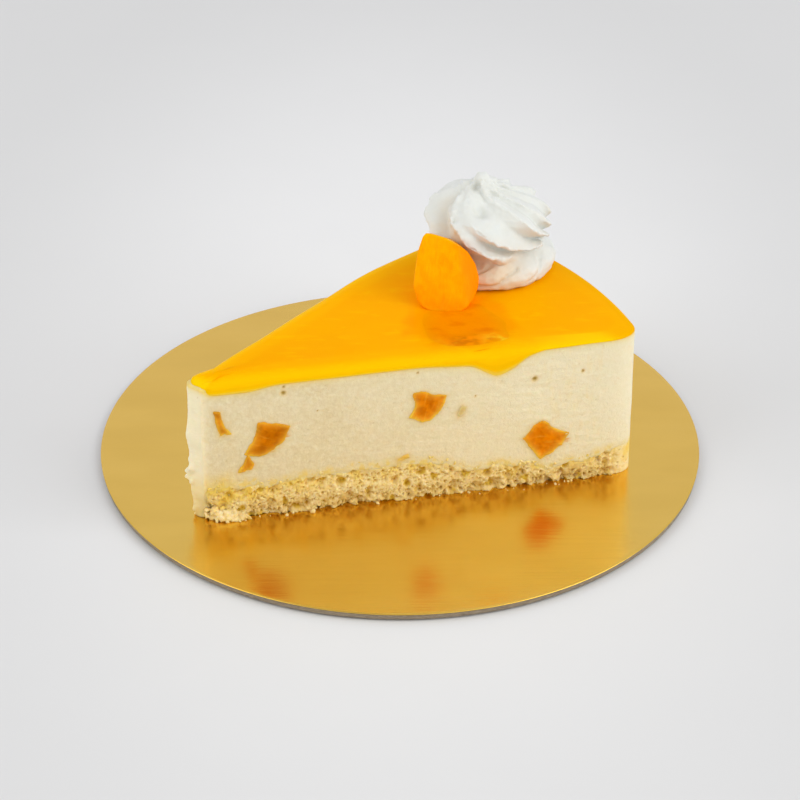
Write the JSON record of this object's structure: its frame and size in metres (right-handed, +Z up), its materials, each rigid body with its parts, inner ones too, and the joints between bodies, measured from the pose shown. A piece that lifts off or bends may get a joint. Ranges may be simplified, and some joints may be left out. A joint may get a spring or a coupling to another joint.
{
  "type": "mango cream cake slice on a round card",
  "caption": "Wedge of mango mousse cake: sponge base, pale mousse with cut mango, glossy orange glaze, cream rosette and a mango piece, on a round gold card.",
  "frame": {"origin": "middle of the card's underside", "axes": "+Z up, the slice's tip points to -X, its near cut face looks to -Y"},
  "size_m": [0.16, 0.16, 0.0696],
  "materials": {
    "gold_card": "gold foil laminate",
    "sponge": "crumbly matte",
    "mousse": "soft matte",
    "glaze": "wet gloss",
    "mango": "moist",
    "cream": "soft satin"
  },
  "bodies": {
    "root": {"card": "gold_card", "sponge": "sponge", "mousse": "mousse", "glaze": "glaze", "mango_near_1": "mango", "mango_near_2": "mango", "mango_near_3": "mango", "mango_near_4": "mango", "mango_near_5": "mango", "mango_near_6": "mango", "mango_near_7": "mango", "mango_back_1": "mango", "mango_back_2": "mango", "mango_back_3": "mango", "cream_rosette": "cream", "mango_topping": "mango"}
  },
  "joints": []
}
